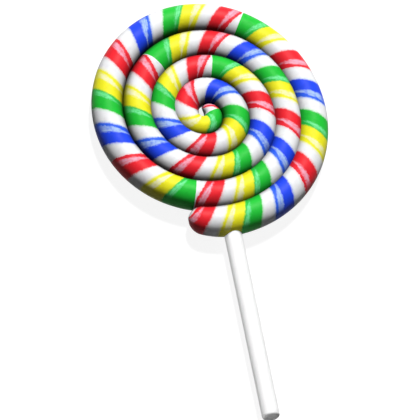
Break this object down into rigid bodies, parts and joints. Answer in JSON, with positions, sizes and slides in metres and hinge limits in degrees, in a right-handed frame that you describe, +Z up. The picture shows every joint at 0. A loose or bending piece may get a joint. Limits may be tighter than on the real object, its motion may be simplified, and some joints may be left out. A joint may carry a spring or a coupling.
{
  "type": "lollipop",
  "caption": "Swirl lollipop: a striped rope of hard candy wound into a flat round coil, on a straight white stick.",
  "frame": {"origin": "bottom centre of the whole part's box, as it lies on its back", "axes": "+Z up, out of the shown side of the coil; the stick points along -Y from the coil; +X to the right of the coil with the stick towards the viewer"},
  "size_m": [0.0794, 0.1542, 0.0094],
  "materials": {
    "candy": "glossy opaque hard candy, white with oblique red, yellow, green and blue bands",
    "stick": "smooth white rolled paper"
  },
  "bodies": {
    "root": {"candy_swirl": "candy", "stick": "stick"}
  },
  "joints": []
}
